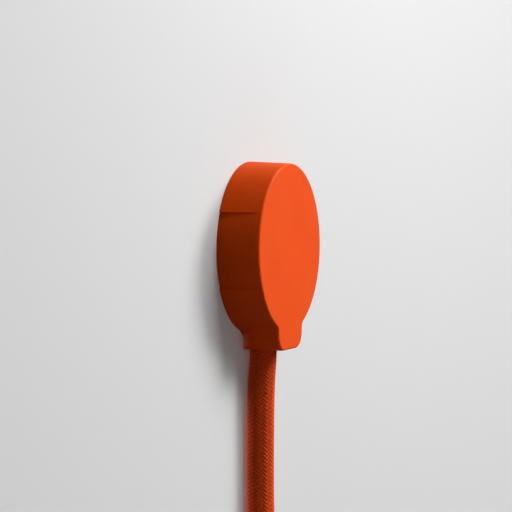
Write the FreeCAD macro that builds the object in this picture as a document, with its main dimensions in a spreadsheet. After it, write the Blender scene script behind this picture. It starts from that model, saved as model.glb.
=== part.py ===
import FreeCAD, Part

import math
import os

import Sketcher

# A flat low profile mains plug: a round moulded cover with a cable boss, a carrier
# with two solid pins and two side earth contacts, and 1.8 m of braided cord.
# The origin is the centre of the engagement face, between the pins. +Y points into
# the socket, +Z is up and X runs from pin to pin. The cover's front faces -Y.

V = FreeCAD.Vector

SIZES = {
    # Pins
    "pin_diameter": 4.8,
    "pin_reach": 19.0,
    "pin_spacing": 19.0,
    "pin_nose_round": 1.6,
    "pin_head_bevel": 0.4,
    "pin_shank_diameter": 5.6,
    "pin_head_diameter": 7.2,
    "pin_head_depth": 8.4,
    "wire_hole_diameter": 2.1,
    # Contact carrier
    "collar_diameter": 36.8,
    "collar_depth": 17.0,
    "collar_wall": 2.0,
    "side_wall": 4.2,
    "contact_wall": 3.4,
    "face_wall": 3.0,
    "guide_width": 6.2,
    "guide_depth": 2.4,
    "flange_thickness": 2.0,
    "flange_reach": 2.55,
    "pin_cup_wall": 1.1,
    "pin_cup_depth": 2.6,
    "face_round": 0.7,
    # Front cover
    "cover_draft": 0.5,
    "cover_depth": 12.4,
    "cover_wall": 2.6,
    "front_wall": 2.2,
    "edge_round": 0.6,
    "rim_round": 0.5,
    "rib_width": 1.4,
    "rib_depth": 1.6,
    "rib_count": 8,
    "grip_height": 20.5,
    "grip_depth": 0.8,
    "grip_front_depth": 0.1,
    "grip_front_band": 1.9,
    # Cable boss
    "boss_top_width": 18.2,
    "boss_end_width": 17.4,
    "boss_root": 5.55,
    "boss_reach": 4.25,
    "boss_corner": 4.4,
    "boss_back_corner": 5.8,
    "boss_back_step": 0.1,
    "boss_throat": 2.0,
    # Cord and its clamp
    "cord_diameter": 7.5,
    "cord_setback": 4.5,
    "core_diameter": 2.3,
    "core_pitch": 1.4,
    "clamp_seat_drop": 2.4,
    "sheath_past_clamp": 1.0,
    "clamp_inset": 2.8,
    "clamp_width": 4.4,
    "clamp_thickness": 1.4,
    "clamp_pitch": 13.0,
    "clamp_screw_diameter": 2.2,
    "clamp_screw_length": 5.0,
    "clamp_arch_depth": 4.0,
    "clamp_head_diameter": 4.0,
    "clamp_head_height": 1.4,
    # Central fixing
    "post_diameter": 6.8,
    "screw_diameter": 2.9,
    "screw_head_diameter": 5.6,
    "screw_head_height": 2.0,
    "screw_sink": 0.3,
    "insert_diameter": 4.6,
    "insert_length": 5.6,
    "insert_groove_width": 1.0,
    "insert_groove_depth": 0.3,
    # Earth circuit
    "strap_thickness": 0.8,
    "strap_width": 8.0,
    "strap_depth": 15.1,
    "strap_ring_diameter": 10.6,
    "contact_inset": 0.2,
    "contact_bend_depth": 2.9,
    "contact_tip_depth": 1.4,
    "contact_tip_tuck": 0.64,
    "contact_pocket_depth": 3.2,
    "earth_hole_height": 10.0,
    "earth_bore_diameter": 4.9,
    "earth_tube_diameter": 6.5,
    "earth_slit_width": 0.6,
    "earth_slit_depth": 10.0,
    "earth_mouth_depth": 1.2,
    "earth_mouth_diameter": 5.4,
    "rivet_diameter": 2.6,
    "rivet_head_diameter": 4.0,
    "rivet_head_height": 0.6,
    "lug_angle": 50.4,
    "lug_inset": 1.27,
    "lug_diameter": 6.4,
    # Lay of the cores inside: how far each rises past the sheath's end, where it turns
    # aside, and how long it runs straight into its terminal
    "pole_core_rise": 3.6,
    "pole_core_turn": 3.1,
    "pole_core_step": 1.0,
    "pole_core_lead": 0.8,
    "earth_core_rise": 4.2,
    "earth_core_turn": 6.0,
    "earth_core_swing": 1.7,
    "earth_core_lead": 5.6,
    # Terminal screws and ferrules
    "terminal_screw_diameter": 2.8,
    "terminal_head_diameter": 4.8,
    "terminal_head_height": 1.5,
    "earth_head_diameter": 5.2,
    "washer_thickness": 0.6,
    "ferrule_diameter": 1.9,
    "ferrule_stop": 0.8,
    "slot_width": 0.7,
    "slot_share": 0.45,
    # Clearance between pieces that fit together, how deep a rib or post is rooted in
    # its wall, and how far a cutter runs past the surface that it cuts
    "clearance": 0.1,
    "root_depth": 0.5,
    "cutter_spare": 1.0,
    # Open stretch of the cord: straight past the boss, a lean to the wall, then a hang
    "cord_straight": 0.8,
    "cord_lean": 1.05,
    "cord_lean_end": 15.2,
    "cord_hang": 56.2,
    # Coil of the length that is put away
    "coil_diameter": 85.0,
    "coil_turns": 6.083,
    "coil_slack": 1.03,
    "coil_drop": 191.9,
    "coil_setback": 30.1,
    "coil_entry_angle": 150.0,
    "coil_lead": 31.0,
    "coil_entry": 29.6,
    "coil_tail": 50.0,
    "tie_width": 12.0,
    "tie_thickness": 1.2,
    "end_sleeve_length": 13.0,
    "end_sleeve_wall": 0.5,
    "far_core_length": 12.0,
    "far_ferrule_length": 8.0,
}

doc = FreeCAD.newDocument("flat_plug")
sheet = doc.addObject("Spreadsheet::Sheet", "size")
for row, (alias, number) in enumerate(SIZES.items(), start=1):
    sheet.set(f"A{row}", alias)
    sheet.set(f"B{row}", str(number))
    sheet.setAlias(f"B{row}", alias)
doc.recompute()

# Places that several pieces share, as formulas of the sheet's sizes.
SEAT = "(-size.collar_depth)"
FRONT = f"({SEAT} - size.cover_depth)"
INNER_FRONT = f"({FRONT} + size.front_wall)"
FLANGE_SEAT = f"({SEAT} - size.flange_thickness)"
FACE_BACK = "(-size.face_wall)"
CORD_Y = f"({SEAT} - size.cord_setback)"
CORD_BORE = "(size.cord_diameter / 2 + size.clearance)"
PIN_X = "(size.pin_spacing / 2)"
PIN_HEAD_BACK = f"({FACE_BACK} - size.pin_head_depth)"
WIRE_Y = f"({PIN_HEAD_BACK} + size.pin_head_depth / 2)"
COVER_CAVITY = "(size.collar_diameter / 2 + size.flange_reach)"
COVER_REAR = f"({COVER_CAVITY} + size.cover_wall)"
COVER_FRONT = f"({COVER_REAR} - size.cover_draft)"
BOSS_TOP = f"(size.boss_root - {COVER_REAR})"
BOSS_FOOT = f"(-{COVER_REAR} - size.boss_reach)"
CAVITY_RADIUS = "(size.collar_diameter / 2 - size.collar_wall)"
CAVITY_HALF_WIDTH = "(size.collar_diameter / 2 - size.side_wall)"
CAVITY_HALF_HEIGHT = "(size.collar_diameter / 2 - size.contact_wall)"
CONTACT_REACH = "(size.collar_diameter / 2 - size.contact_inset)"
LUG_ACROSS = f"(({CAVITY_RADIUS} - size.lug_diameter / 2 - size.lug_inset) * cos(size.lug_angle))"
LUG_HEIGHT = f"(({CAVITY_RADIUS} - size.lug_diameter / 2 - size.lug_inset) * sin(size.lug_angle))"
CLAMP_Z = f"(size.clamp_inset - {CAVITY_HALF_HEIGHT})"
CLAMP_X = "(size.clamp_pitch / 2)"
CLAMP_SEAT = f"({CORD_Y} + size.cord_diameter / 2 - size.clamp_seat_drop)"
SHEATH_END = f"({CLAMP_Z} + size.clamp_width / 2 + size.sheath_past_clamp)"
STRAP_BACK = "(-size.strap_depth - size.strap_thickness)"
STRAP_FRONT = "(-size.strap_depth)"
LUG_WIRE_X = (
    f"({LUG_ACROSS} - size.terminal_screw_diameter / 2 - size.core_diameter / 2 + size.clearance)"
)
LUG_WIRE_Y = f"({STRAP_BACK} - size.core_diameter / 2)"
LUG_WIRE_END = f"({LUG_HEIGHT} - size.lug_diameter / 2 - 4 * size.clearance)"
POST_ROOT = f"({INNER_FRONT} - size.root_depth)"
CUP_ROOT = f"({FACE_BACK} + size.root_depth)"
SCREW_SEAT = "(-size.screw_head_height - size.screw_sink)"
SPARE = "size.cutter_spare"

subparts = []


def num(formula):
    """The number that a formula of the sheet's sizes comes to."""
    return float(sheet_reader.evalExpression(str(formula)))


sheet_reader = doc.addObject("App::FeaturePython", "formula_reader")


def minus(formula):
    return f"(-{formula})"


def keep(obj, label):
    """Name a finished sub-part and put it on the list that is written."""
    obj.Label = label
    subparts.append(obj)
    return obj


def place(obj, x, y, z, rotation=None):
    """Put an object at a point given by formulas."""
    obj.Placement = FreeCAD.Placement(V(0, 0, 0), rotation or FreeCAD.Rotation())
    obj.setExpression("Placement.Base.x", str(x))
    obj.setExpression("Placement.Base.y", str(y))
    obj.setExpression("Placement.Base.z", str(z))
    return obj


ALONG = {
    "X": FreeCAD.Rotation(V(0, 1, 0), 90),
    "Y": FreeCAD.Rotation(V(1, 0, 0), -90),
    "Z": FreeCAD.Rotation(),
}


def rod(name, diameter, low, high, across=(0, 0), axis="Y"):
    """A cylinder along an axis, from low to high; across is its place on the other two."""
    obj = doc.addObject("Part::Cylinder", name)
    obj.setExpression("Radius", f"{diameter} / 2")
    obj.setExpression("Height", f"{high} - {low}")
    at = {"X": (low, *across), "Y": (across[0], low, across[1]), "Z": (*across, low)}[axis]
    return place(obj, *at, ALONG[axis])


def taper(name, low_diameter, high_diameter, low, high, across=(0, 0), axis="Y"):
    """A cone along an axis, placed as a rod is."""
    obj = doc.addObject("Part::Cone", name)
    obj.setExpression("Radius1", f"{low_diameter} / 2")
    obj.setExpression("Radius2", f"{high_diameter} / 2")
    obj.setExpression("Height", f"{high} - {low}")
    at = {"X": (low, *across), "Y": (across[0], low, across[1]), "Z": (*across, low)}[axis]
    return place(obj, *at, ALONG[axis])


def block(name, x, y, z):
    """A box from its low and high formula on each axis."""
    obj = doc.addObject("Part::Box", name)
    obj.setExpression("Length", f"{x[1]} - {x[0]}")
    obj.setExpression("Width", f"{y[1]} - {y[0]}")
    obj.setExpression("Height", f"{z[1]} - {z[0]}")
    return place(obj, x[0], y[0], z[0])


def fuse(name, pieces):
    obj = doc.addObject("Part::MultiFuse", name)
    obj.Shapes = pieces
    obj.Refine = True
    return obj


def cut(name, base, tools):
    """The base without the tools."""
    obj = doc.addObject("Part::Cut", name)
    obj.Base = base
    obj.Tool = tools[0] if len(tools) == 1 else fuse(f"{name}_tools", tools)
    obj.Refine = True
    return obj


def common(name, base, tool):
    obj = doc.addObject("Part::Common", name)
    obj.Base = base
    obj.Tool = tool
    obj.Refine = True
    return obj


def sketch_on(body, name, role, offset="0"):
    """A sketch on one of a body's origin planes, moved along the plane's normal."""
    sketch = body.newObject("Sketcher::SketchObject", name)
    plane = [item for item in body.Origin.OriginFeatures if item.Role == role][0]
    sketch.AttachmentSupport = (plane, [""])
    sketch.MapMode = "FlatFace"
    sketch.setExpression("AttachmentOffset.Base.z", str(offset))
    return sketch


def closed_outline(sketch, corners):
    """A closed outline through corners given as pairs of formulas."""
    points = [V(num(x), num(y), 0) for x, y in corners]
    count = len(points)
    for i in range(count):
        sketch.addGeometry(Part.LineSegment(points[i], points[(i + 1) % count]), False)
    for i in range(count):
        sketch.addConstraint(Sketcher.Constraint("Coincident", i, 2, (i + 1) % count, 1))
    for i, (x, y) in enumerate(corners):
        pin_point(sketch, i, 1, x, y)


def pin_point(sketch, geometry, end, x, y):
    """Hold a point of a sketch at a pair of formulas from the sketch's origin."""
    for kind, formula in (("DistanceX", x), ("DistanceY", y)):
        index = sketch.addConstraint(
            Sketcher.Constraint(kind, -1, 1, geometry, end, num(formula))
        )
        sketch.setExpression(f"Constraints[{index}]", str(formula))


def edges_where(feature, test):
    """Names of the edges of a feature whose shape passes a test."""
    return [f"Edge{i}" for i, edge in enumerate(feature.Shape.Edges, start=1) if test(edge)]


def rounding(body, name, feature, test, radius):
    """A fillet on the edges of a feature that pass a test."""
    doc.recompute()
    obj = body.newObject("PartDesign::Fillet", name)
    obj.Base = (feature, edges_where(feature, test))
    obj.setExpression("Radius", radius)
    return obj


def bevel(body, name, feature, test, width):
    """A chamfer on the edges of a feature that pass a test."""
    doc.recompute()
    obj = body.newObject("PartDesign::Chamfer", name)
    obj.Base = (feature, edges_where(feature, test))
    obj.setExpression("Size", width)
    return obj


def lies_at(edge, axis, place_on_axis):
    """Whether an edge lies wholly in the plane at that place on an axis."""
    box = edge.BoundBox
    low = getattr(box, f"{axis}Min")
    high = getattr(box, f"{axis}Max")
    return abs(low - place_on_axis) < 1e-3 and abs(high - place_on_axis) < 1e-3


def runs_along(edge, axis):
    """Whether an edge is straight and runs mostly along an axis."""
    if edge.Curve.TypeId != "Part::GeomLine":
        return False
    direction = edge.tangentAt(edge.FirstParameter)
    return abs(getattr(direction, axis)) > 0.95


# Front cover

def boss_pad(name):
    """A body padded from the boss's outline, as seen from the front."""
    back = f"({SEAT} - size.boss_back_step)"
    half_top = "(size.boss_top_width / 2)"
    half_end = "(size.boss_end_width / 2)"
    body = doc.addObject("PartDesign::Body", f"{name}_body")
    outline = sketch_on(body, f"{name}_outline", "XZ_Plane", minus(back))
    closed_outline(outline, [
        (minus(half_top), BOSS_TOP),
        (minus(half_end), BOSS_FOOT),
        (half_end, BOSS_FOOT),
        (half_top, BOSS_TOP),
    ])
    pad = body.newObject("PartDesign::Pad", f"{name}_pad")
    pad.Profile = outline
    pad.setExpression("Length", f"{back} - {FRONT}")
    return body, pad


def boss_blank():
    """The cable boss, rounded at its foot and, more widely, along its back corners."""
    foot_body, foot_pad = boss_pad("boss_foot")
    lowest = num(BOSS_FOOT) + 0.1
    rounding(
        foot_body,
        "boss_foot_rounds",
        foot_pad,
        lambda e: runs_along(e, "y") and e.CenterOfMass.z < lowest,
        "size.boss_corner",
    )
    back_body, back_pad = boss_pad("boss_back")
    back = num(f"{SEAT} - size.boss_back_step")
    rounding(
        back_body,
        "boss_back_rounds",
        back_pad,
        lambda e: runs_along(e, "z") and abs(e.CenterOfMass.y - back) < 0.01,
        "size.boss_back_corner",
    )
    return common("boss", foot_body, back_body)


def part_rounding(name, base, test, radius):
    """A fillet on the edges of a plain solid that pass a test."""
    doc.recompute()
    obj = doc.addObject("Part::Fillet", name)
    obj.Base = base
    picked = [i for i, edge in enumerate(base.Shape.Edges, start=1) if test(edge)]
    obj.Edges = [(i, num(radius), num(radius)) for i in picked]
    return obj


def cover_blank():
    """The cover's outer form: a drafted disc with the cable boss at its foot."""
    spare = "5"
    slope = "(2 * size.cover_draft / size.cover_depth)"
    disc = taper(
        "cover_disc",
        f"(2 * {COVER_FRONT})",
        f"(2 * {COVER_FRONT} + {slope} * (size.cover_depth + {spare}))",
        FRONT,
        f"({SEAT} + {spare})",
    )
    joined = fuse("cover_disc_and_boss", [disc, boss_blank()])
    front = num(FRONT)
    seat = num(SEAT)
    disc_radius = num(COVER_REAR)
    front_radius = num(COVER_FRONT)

    def throat(edge):
        middle = edge.CenterOfMass
        on_disc = front_radius - 0.2 < math.hypot(middle.x, middle.z) < disc_radius + 0.2
        beside_boss = 0.3 * disc_radius < abs(middle.x) < 0.6 * disc_radius
        crosses = edge.BoundBox.YMin < front + 0.1 and edge.BoundBox.YMax > front + 2
        return on_disc and beside_boss and crosses and edge.BoundBox.XLength < 1

    throats = part_rounding("boss_throat_rounds", joined, throat, "size.boss_throat")
    depth_limit = block(
        "cover_depth_limit",
        (f"(-2 * {COVER_REAR})", f"(2 * {COVER_REAR})"),
        (f"({FRONT} - {SPARE})", SEAT),
        (f"(-2 * {COVER_REAR})", f"(2 * {COVER_REAR})"),
    )
    limited = common("cover_limited", throats, depth_limit)
    fronts = part_rounding(
        "front_edge_round", limited, lambda e: lies_at(e, "Y", front), "size.edge_round"
    )
    return part_rounding(
        "cover_rim_round",
        fronts,
        lambda e: lies_at(e, "Y", seat) and e.Length > disc_radius,
        "size.rim_round",
    )


def grip_recess(name, side):
    """A finger hold in the cover's side: it starts behind a front band, grows deeper
    towards the seat and is open there."""
    low = f"({FRONT} + size.grip_front_band)"
    half = "(size.grip_height / 2)"
    far = f"(2 * {COVER_REAR})"
    skin = f"({COVER_FRONT} + size.cover_draft * size.grip_front_band / size.cover_depth)"
    outer = block(
        f"{name}_block",
        ("0", far) if side > 0 else (minus(far), "0"),
        (low, SEAT),
        (minus(half), half),
    )
    core = taper(
        f"{name}_core",
        f"(2 * ({skin} - size.grip_front_depth))",
        f"(2 * ({COVER_REAR} - size.grip_depth))",
        low,
        SEAT,
    )
    return cut(name, outer, [core])


def seat_ribs():
    """Short ribs inside the cover's wall that carry the flange of the carrier."""
    reach = f"({COVER_CAVITY} + size.root_depth)"
    root = f"({COVER_CAVITY} - size.rib_depth)"
    ribs = []
    count = int(num("size.rib_count"))
    for i in range(count):
        rib = block(
            f"rib_{i}",
            (root, reach),
            (POST_ROOT, FLANGE_SEAT),
            ("(-size.rib_width / 2)", "(size.rib_width / 2)"),
        )
        turn = FreeCAD.Placement(V(0, 0, 0), FreeCAD.Rotation(V(0, 1, 0), 360 * (i + 0.5) / count))
        turned = doc.addObject("Part::Compound", f"rib_turned_{i}")
        turned.Links = [rib]
        turned.Placement = turn
        ribs.append(turned)
    return ribs


def cord_saddle(name, z_formula):
    """A cross wall inside the cover with a round notch that the cord lies in."""
    half_width = f"({CLAMP_X} + size.clamp_width / 2)"
    wall = block(
        name,
        (minus(half_width), half_width),
        (POST_ROOT, CLAMP_SEAT),
        (f"({z_formula} - size.rib_width / 2)", f"({z_formula} + size.rib_width / 2)"),
    )
    return wall


def front_cover():
    blank = cover_blank()
    cavity = rod("cover_cavity", f"(2 * {COVER_CAVITY})", INNER_FRONT, f"({SEAT} + {SPARE})")
    hollowed = cut(
        "cover_hollow",
        blank,
        [cavity, grip_recess("grip_left", -1), grip_recess("grip_right", 1)],
    )

    posts = [rod("screw_post", "size.post_diameter", POST_ROOT, FLANGE_SEAT)]
    for side, x in (("left", minus(CLAMP_X)), ("right", CLAMP_X)):
        posts.append(rod(f"clamp_post_{side}", "size.clamp_width", POST_ROOT, CLAMP_SEAT, (x, CLAMP_Z)))
    saddles = [cord_saddle("clamp_saddle", CLAMP_Z)]
    built = fuse("cover_built", [hollowed, *seat_ribs(), *posts, *saddles])

    gland = rod(
        "gland_bore",
        f"(2 * {CORD_BORE})",
        f"({BOSS_FOOT} - {SPARE})",
        SHEATH_END,
        ("0", CORD_Y),
        "Z",
    )
    insert_hole = rod(
        "insert_hole",
        "size.insert_diameter",
        f"({FLANGE_SEAT} - size.insert_length)",
        f"({FLANGE_SEAT} + {SPARE})",
    )
    tip_hole = rod(
        "screw_tip_hole",
        "(size.screw_diameter + 2 * size.clearance)",
        f"({INNER_FRONT} + size.screw_sink)",
        FLANGE_SEAT,
    )
    pilots = []
    for side, x in (("left", minus(CLAMP_X)), ("right", CLAMP_X)):
        pilots.append(rod(
            f"clamp_pilot_{side}",
            "size.clamp_screw_diameter",
            f"({CLAMP_SEAT} - size.clamp_screw_length)",
            f"({CLAMP_SEAT} + {SPARE})",
            (x, CLAMP_Z),
        ))
    return keep(cut("cover_finished", built, [gland, insert_hole, tip_hole, *pilots]), "front_cover")


# Contact carrier

def strap_slots():
    """Grooves in the collar for the side contacts, and their ways in from the back."""
    half = "(size.strap_width / 2 + size.clearance)"
    floor = f"({CONTACT_REACH} - size.strap_thickness - size.clearance)"
    tools = []
    for side in (1, -1):
        name = "top" if side > 0 else "bottom"
        out = "(size.collar_diameter)"
        deep = f"({floor} - size.strap_thickness)"
        groove_z = (floor, out) if side > 0 else (minus(out), minus(floor))
        entry_low = f"({CAVITY_RADIUS} - size.strap_width / 2)"
        entry_high = f"({CONTACT_REACH} + size.clearance)"
        entry_z = (entry_low, entry_high) if side > 0 else (minus(entry_high), minus(entry_low))
        tuck_z = (deep, out) if side > 0 else (minus(out), minus(deep))
        tools.append(block(f"contact_groove_{name}", (minus(half), half), (SEAT, SPARE), groove_z))
        tools.append(block(
            f"contact_entry_{name}",
            (minus(half), half),
            (f"({FLANGE_SEAT} - {SPARE})", f"({STRAP_FRONT} + size.clearance)"),
            entry_z,
        ))
        tools.append(block(
            f"contact_tuck_{name}",
            (minus(half), half),
            ("(-size.contact_pocket_depth)", SPARE),
            tuck_z,
        ))
    return tools


def contact_carrier():
    collar_blank = rod("collar_blank", "size.collar_diameter", FLANGE_SEAT, "0")
    collar = part_rounding("collar", collar_blank, lambda e: lies_at(e, "Y", 0), "size.face_round")
    flange = rod("flange", f"(2 * {COVER_CAVITY} - 2 * size.clearance)", FLANGE_SEAT, SEAT)
    outer = fuse("carrier_outer", [collar, flange])
    round_hole = rod(
        "carrier_round_cavity",
        f"(2 * {CAVITY_RADIUS})",
        f"({FLANGE_SEAT} - {SPARE})",
        FACE_BACK,
    )
    flats = block(
        "carrier_flats",
        (minus(CAVITY_HALF_WIDTH), CAVITY_HALF_WIDTH),
        (f"({FLANGE_SEAT} - 2 * {SPARE})", f"({FACE_BACK} + {SPARE})"),
        (minus(CAVITY_HALF_HEIGHT), CAVITY_HALF_HEIGHT),
    )
    cavity = common("carrier_cavity", round_hole, flats)
    guide_half = "(size.guide_width / 2)"
    guide_floor = "(size.collar_diameter / 2 - size.guide_depth)"
    guides = [
        block(
            "guide_right",
            (guide_floor, "size.collar_diameter"),
            (SEAT, SPARE),
            (minus(guide_half), guide_half),
        ),
        block(
            "guide_left",
            ("(-size.collar_diameter)", minus(guide_floor)),
            (SEAT, SPARE),
            (minus(guide_half), guide_half),
        ),
    ]
    shell = cut("carrier_shell", outer, [cavity, *guides, *strap_slots()])

    pillar = rod("carrier_pillar", "(size.post_diameter - 2 * size.clearance)", FLANGE_SEAT, CUP_ROOT)
    cup_diameter = "(size.pin_head_diameter + 2 * size.clearance + 2 * size.pin_cup_wall)"
    cup_low = f"({FACE_BACK} - size.pin_cup_depth)"
    cups = []
    for side, x in (("left", minus(PIN_X)), ("right", PIN_X)):
        cups.append(rod(f"pin_cup_{side}", cup_diameter, cup_low, CUP_ROOT, (x, "0")))
    tube_cup = rod(
        "earth_cup",
        "(size.earth_tube_diameter + 2 * size.clearance + 2 * size.pin_cup_wall)",
        cup_low,
        CUP_ROOT,
        ("0", "size.earth_hole_height"),
    )
    cups_in = common(
        "carrier_cups",
        fuse("cups", [*cups, tube_cup]),
        rod("cup_limit", f"(2 * {CAVITY_RADIUS} + size.root_depth)", f"({cup_low} - {SPARE})", "0"),
    )
    built = fuse("carrier_built", [shell, pillar, cups_in])

    holes = []
    for side, x in (("left", minus(PIN_X)), ("right", PIN_X)):
        holes.append(rod(
            f"pin_hole_{side}",
            "(size.pin_shank_diameter + 2 * size.clearance)",
            f"({FACE_BACK} - {SPARE})",
            SPARE,
            (x, "0"),
        ))
        holes.append(rod(
            f"pin_cup_hole_{side}",
            "(size.pin_head_diameter + 2 * size.clearance)",
            f"({FLANGE_SEAT} - {SPARE})",
            FACE_BACK,
            (x, "0"),
        ))
    holes.append(rod(
        "earth_mouth",
        "size.earth_mouth_diameter",
        f"({FACE_BACK} - {SPARE})",
        SPARE,
        ("0", "size.earth_hole_height"),
    ))
    holes.append(rod(
        "earth_tube_hole",
        "(size.earth_tube_diameter + 2 * size.clearance)",
        f"({FLANGE_SEAT} - {SPARE})",
        "(-size.earth_mouth_depth)",
        ("0", "size.earth_hole_height"),
    ))
    holes.append(rod(
        "screw_way",
        "(size.screw_diameter + 4 * size.clearance)",
        f"({FLANGE_SEAT} - {SPARE})",
        SPARE,
    ))
    holes.append(rod(
        "screw_sink",
        "(size.screw_head_diameter + 4 * size.clearance)",
        SCREW_SEAT,
        SPARE,
    ))
    holes.append(rod(
        "cord_relief",
        f"(2 * {CORD_BORE})",
        BOSS_FOOT,
        CLAMP_Z,
        ("0", CORD_Y),
        "Z",
    ))
    return keep(cut("carrier_finished", built, holes), "contact_carrier")


# Pins

def contact_pin(label, side):
    """A turned pin: a drilled terminal head, a shank in the carrier and a round nose."""
    body = doc.addObject("PartDesign::Body", f"{label}_blank")
    section = sketch_on(body, f"{label}_section", "XY_Plane")
    closed_outline(section, [
        ("0", PIN_HEAD_BACK),
        ("size.pin_head_diameter / 2", PIN_HEAD_BACK),
        ("size.pin_head_diameter / 2", FACE_BACK),
        ("size.pin_shank_diameter / 2", FACE_BACK),
        ("size.pin_shank_diameter / 2", "0"),
        ("size.pin_diameter / 2", "0"),
        ("size.pin_diameter / 2", "size.pin_reach"),
        ("0", "size.pin_reach"),
    ])
    turned = body.newObject("PartDesign::Revolution", f"{label}_turned")
    turned.Profile = section
    turned.ReferenceAxis = (section, ["V_Axis"])
    turned.Angle = 360
    nose = rounding(
        body,
        f"{label}_nose",
        turned,
        lambda e: lies_at(e, "Y", num("size.pin_reach")),
        "size.pin_nose_round",
    )
    bevel(
        body,
        f"{label}_head_bevel",
        nose,
        lambda e: lies_at(e, "Y", num(PIN_HEAD_BACK)),
        "size.pin_head_bevel",
    )

    wire_hole = rod(
        f"{label}_wire_hole",
        "size.wire_hole_diameter",
        "(-size.pin_head_diameter)",
        "size.pin_head_diameter",
        ("0", WIRE_Y),
        "Z",
    )
    screw_hole = rod(
        f"{label}_screw_hole",
        "size.terminal_screw_diameter",
        f"({PIN_HEAD_BACK} - {SPARE})",
        WIRE_Y,
    )
    pin = cut(f"{label}_drilled", body, [wire_hole, screw_hole])
    place(pin, PIN_X if side > 0 else minus(PIN_X), "0", "0")
    return keep(pin, label)


# Earth circuit

def earth_strap():
    """One bent strip: two side contacts joined behind the pins, with a ring and a lug."""
    body = doc.addObject("PartDesign::Body", "earth_strap_body")
    outer = CONTACT_REACH
    inner = f"({CONTACT_REACH} - size.strap_thickness)"
    tip = "(-size.contact_tip_depth)"
    bend = "(-size.contact_bend_depth)"
    tuck = "size.contact_tip_tuck"
    half = [
        (STRAP_BACK, outer),
        (bend, outer),
        (tip, f"{outer} - {tuck}"),
        (tip, f"{inner} - {tuck}"),
        (bend, inner),
        (STRAP_FRONT, inner),
    ]
    mirrored = [(y, f"-({z})") for y, z in reversed(half)]
    section = sketch_on(body, "strap_section", "YZ_Plane")
    closed_outline(section, half + mirrored)
    strip = body.newObject("PartDesign::Pad", "strap_strip")
    strip.Profile = section
    strip.Midplane = True
    strip.setExpression("Length", "size.strap_width")

    ring = rod("strap_ring", "size.strap_ring_diameter", STRAP_BACK, STRAP_FRONT)
    lug = rod(
        "strap_lug",
        "size.lug_diameter",
        STRAP_BACK,
        STRAP_FRONT,
        (LUG_ACROSS, LUG_HEIGHT),
    )
    neck = block(
        "strap_lug_neck",
        ("0", LUG_ACROSS),
        (STRAP_BACK, STRAP_FRONT),
        (f"({LUG_HEIGHT} - size.lug_diameter / 2)", f"({LUG_HEIGHT} + size.lug_diameter / 2)"),
    )
    built = fuse("strap_built", [body, ring, lug, neck])
    holes = [
        rod(
            "strap_pillar_hole",
            "(size.post_diameter + 4 * size.clearance)",
            f"({STRAP_BACK} - {SPARE})",
            f"({STRAP_FRONT} + {SPARE})",
        ),
        rod(
            "strap_rivet_hole",
            "(size.rivet_diameter + 2 * size.clearance)",
            f"({STRAP_BACK} - {SPARE})",
            f"({STRAP_FRONT} + {SPARE})",
            ("0", "size.earth_hole_height"),
        ),
        rod(
            "strap_screw_hole",
            "(size.terminal_screw_diameter + 2 * size.clearance)",
            f"({STRAP_BACK} - {SPARE})",
            f"({STRAP_FRONT} + {SPARE})",
            (LUG_ACROSS, LUG_HEIGHT),
        ),
    ]
    return keep(cut("strap_finished", built, holes), "earth_strap")


def earth_receptacle():
    """A slit sleeve for the socket's earth pin, riveted to the strap."""
    at = ("0", "size.earth_hole_height")
    mouth = "(-size.earth_mouth_depth)"
    tube = rod("earth_tube", "size.earth_tube_diameter", STRAP_FRONT, mouth, at)
    stem = rod("earth_rivet_stem", "size.rivet_diameter", STRAP_BACK, STRAP_FRONT, at)
    head = rod(
        "earth_rivet_head",
        "size.rivet_head_diameter",
        f"({STRAP_BACK} - size.rivet_head_height)",
        STRAP_BACK,
        at,
    )
    bore = rod("earth_bore", "size.earth_bore_diameter", f"({STRAP_FRONT} + {SPARE})", "0", at)
    slit = block(
        "earth_slit",
        ("(-size.earth_slit_width / 2)", "(size.earth_slit_width / 2)"),
        ("(-size.earth_slit_depth)", "0"),
        ("size.earth_hole_height", "(size.earth_hole_height + size.earth_tube_diameter)"),
    )
    return keep(
        cut("receptacle_finished", fuse("receptacle_built", [tube, stem, head]), [bore, slit]),
        "earth_receptacle",
    )


# Screws, clamp and insert

def slotted_screw(name, shank, tip, seat, head, height, across, toward_back=True):
    """A cheese head screw along Y; the head stands back from its seat."""
    far = f"({seat} - {height})" if toward_back else f"({seat} + {height})"
    low, high = (far, seat) if toward_back else (seat, far)
    head_rod = rod(f"{name}_head", head, low, high, across)
    shank_low, shank_high = (seat, tip) if toward_back else (tip, seat)
    shank_rod = rod(f"{name}_shank", shank, shank_low, shank_high, across)
    deep = f"size.slot_share * {height}"
    if toward_back:
        slot_y = (f"({far} - {SPARE})", f"({far} + {deep})")
    else:
        slot_y = (f"({far} - {deep})", f"({far} + {SPARE})")
    slot = block(
        f"{name}_slot",
        (f"({across[0]} - {head})", f"({across[0]} + {head})"),
        slot_y,
        (f"({across[1]} - size.slot_width / 2)", f"({across[1]} + size.slot_width / 2)"),
    )
    return cut(name, fuse(f"{name}_solid", [head_rod, shank_rod]), [slot])


def group(label, pieces):
    """Like pieces as one node of separate solids."""
    obj = doc.addObject("Part::Compound", f"{label}_group")
    obj.Links = pieces
    return keep(obj, label)


def pin_terminal_screws():
    tip = f"({WIRE_Y} - size.ferrule_diameter / 2)"
    screws = []
    for side, x in (("left", minus(PIN_X)), ("right", PIN_X)):
        screws.append(slotted_screw(
            f"pin_screw_{side}",
            "(size.terminal_screw_diameter - size.clearance)",
            tip,
            PIN_HEAD_BACK,
            "size.terminal_head_diameter",
            "size.terminal_head_height",
            (x, "0"),
        ))
    return group("pin_terminal_screws", screws)


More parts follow.
